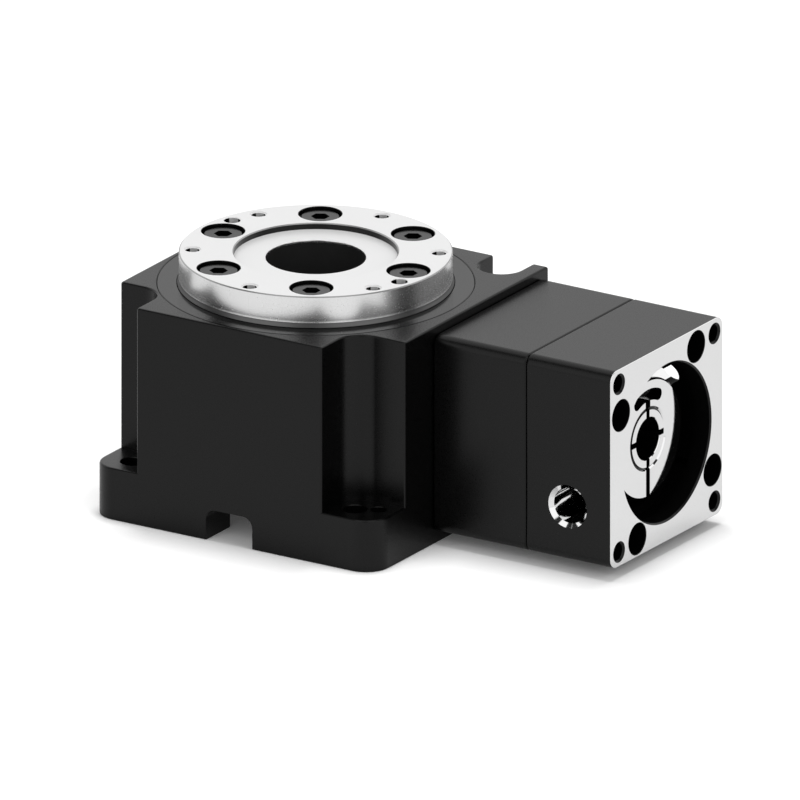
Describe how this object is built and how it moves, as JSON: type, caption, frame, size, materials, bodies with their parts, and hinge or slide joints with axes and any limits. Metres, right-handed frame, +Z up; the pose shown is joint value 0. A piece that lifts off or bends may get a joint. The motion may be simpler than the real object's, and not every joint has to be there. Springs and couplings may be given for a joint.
{
  "type": "hollow rotary platform",
  "caption": "Right-angle hollow rotary platform: a turntable on a crossed roller bearing, driven through a crown gear and a planetary stage from a square motor flange.",
  "frame": {"origin": "on the platform's axis at the underside of the feet, the centre of the foot holes", "axes": "+Z up along the platform's axis, +X along the input axis towards the motor face, +Y to the side the input is offset to"},
  "size_m": [0.0998, 0.0592, 0.048],
  "materials": {
    "black_anodised_aluminium": "satin black anodised, finely blasted",
    "bright_steel": "bright, fine turned",
    "bearing_steel": "ground and polished",
    "gear_steel": "hobbed, oiled",
    "black_oxide_steel": "black oxide",
    "seal_rubber": "matt nitrile",
    "spacer_plastic": "moulded nylon"
  },
  "bodies": {
    "root": {"main_housing": "black_anodised_aluminium", "bottom_cover": "black_anodised_aluminium", "bottom_cover_screws": "black_oxide_steel", "lower_seal": "seal_rubber", "lower_bearing_outer_ring": "bearing_steel", "bearing_outer_ring": "bearing_steel", "bearing_retainer": "black_anodised_aluminium", "platform_seal": "seal_rubber", "pinion_bearing_outer_rings": "bearing_steel", "pinion_outer_spacer": "bearing_steel", "input_housing": "black_anodised_aluminium", "input_housing_screws": "black_oxide_steel", "motor_adapter": "black_anodised_aluminium", "motor_adapter_screws": "black_oxide_steel", "input_bearing_outer_ring": "bearing_steel", "input_seal": "seal_rubber"},
    "platform": {"output_platform": "bright_steel", "platform_screws": "black_oxide_steel", "bearing_inner_ring": "bearing_steel", "crown_gear": "gear_steel", "hollow_shaft": "black_oxide_steel", "lower_bearing_inner_ring": "bearing_steel"},
    "rollers": {"crossed_rollers": "bearing_steel", "roller_spacers": "spacer_plastic"},
    "pinion": {"pinion_shaft": "gear_steel", "pinion_bearing_inner_rings": "bearing_steel", "pinion_inner_spacer": "bearing_steel", "planet_carrier": "gear_steel", "planet_pins": "gear_steel"},
    "input": {"sun_gear": "gear_steel", "input_hub": "bright_steel", "collet_sleeve": "bright_steel", "clamp_screw": "black_oxide_steel", "input_bearing_inner_ring": "bearing_steel"},
    "planet_1": {"planet_gear_1": "gear_steel"},
    "planet_2": {"planet_gear_2": "gear_steel"},
    "planet_3": {"planet_gear_3": "gear_steel"}
  },
  "joints": [
    {"name": "platform_turn", "type": "hinge", "parent": "root", "child": "platform", "pos_m": [0, 0, 0.037], "axis": [0, 0, 1], "continuous": true},
    {"name": "roller_orbit", "type": "hinge", "parent": "root", "child": "rollers", "pos_m": [0, 0, 0.037], "axis": [0, 0, 1], "continuous": true},
    {"name": "pinion_turn", "type": "hinge", "parent": "root", "child": "pinion", "pos_m": [0.0303, 0.0095, 0.0213], "axis": [1, 0, 0], "continuous": true},
    {"name": "input_turn", "type": "hinge", "parent": "root", "child": "input", "pos_m": [0.0543, 0.0095, 0.0213], "axis": [1, 0, 0], "continuous": true},
    {"name": "planet_1_turn", "type": "hinge", "parent": "pinion", "child": "planet_1", "pos_m": [0.0437, 0.0095, 0.0117], "axis": [1, 0, 0], "continuous": true},
    {"name": "planet_2_turn", "type": "hinge", "parent": "pinion", "child": "planet_2", "pos_m": [0.0437, 0.01781, 0.0261], "axis": [1, 0, 0], "continuous": true},
    {"name": "planet_3_turn", "type": "hinge", "parent": "pinion", "child": "planet_3", "pos_m": [0.0437, 0.00119, 0.0261], "axis": [1, 0, 0], "continuous": true}
  ],
  "couplings": [
    {"joint": "roller_orbit", "follows": "platform_turn", "ratio": 0.482},
    {"joint": "pinion_turn", "follows": "platform_turn", "ratio": -4},
    {"joint": "input_turn", "follows": "platform_turn", "ratio": -16},
    {"joint": "planet_1_turn", "follows": "platform_turn", "ratio": 12},
    {"joint": "planet_2_turn", "follows": "platform_turn", "ratio": 12},
    {"joint": "planet_3_turn", "follows": "platform_turn", "ratio": 12}
  ]
}
